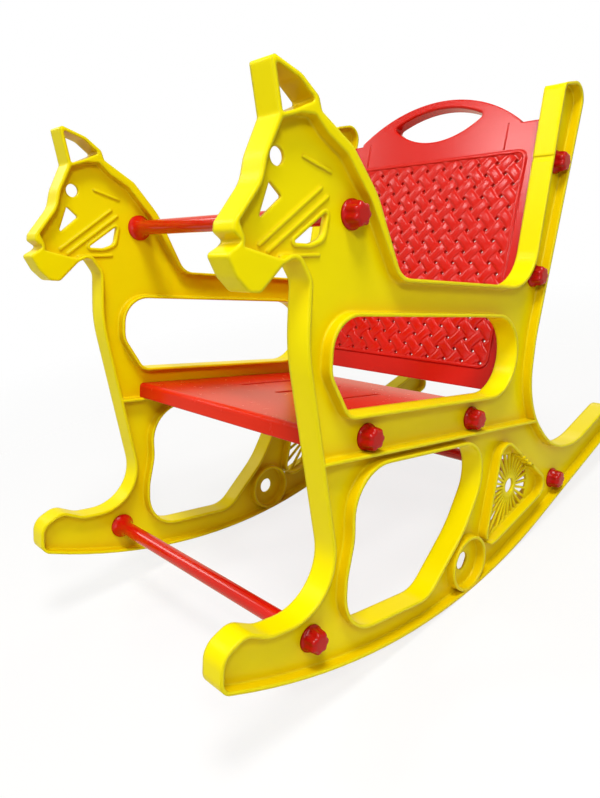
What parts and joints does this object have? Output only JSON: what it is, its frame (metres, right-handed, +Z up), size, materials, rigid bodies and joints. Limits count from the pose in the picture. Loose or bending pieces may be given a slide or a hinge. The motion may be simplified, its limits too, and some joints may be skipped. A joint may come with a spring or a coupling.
{
  "type": "child's rocking chair",
  "caption": "Child's rocking chair of moulded plastic: horse shaped side frames on curved rockers, slotted seat, woven backrest with a grip slot, cross rods and lobed knobs.",
  "frame": {"origin": "on the floor, under the middle of the chair's bounding box", "axes": "+Z up, +X to the seated child's left, -Y to the front where the horse heads are; the chair leans back to where it balances on its rockers"},
  "size_m": [0.35, 0.673, 0.5127],
  "materials": {
    "frame_plastic": "glossy injection moulded yellow",
    "panel_plastic": "glossy injection moulded red",
    "rod_plastic": "glossy red bar",
    "knob_plastic": "glossy dark red moulding"
  },
  "bodies": {
    "root": {"left_side_frame": "frame_plastic", "right_side_frame": "frame_plastic", "seat": "panel_plastic", "backrest": "panel_plastic", "handle_rod": "rod_plastic", "foot_rod": "rod_plastic", "rear_rod": "rod_plastic", "handle_nut_left": "knob_plastic", "handle_nut_right": "knob_plastic", "foot_nut_left": "knob_plastic", "foot_nut_right": "knob_plastic", "rear_nut_left": "knob_plastic", "rear_nut_right": "knob_plastic", "seat_front_screw_left": "knob_plastic", "seat_front_screw_right": "knob_plastic", "seat_rear_screw_left": "knob_plastic", "seat_rear_screw_right": "knob_plastic", "back_lower_screw_left": "knob_plastic", "back_lower_screw_right": "knob_plastic", "back_upper_screw_left": "knob_plastic", "back_upper_screw_right": "knob_plastic"}
  },
  "joints": []
}
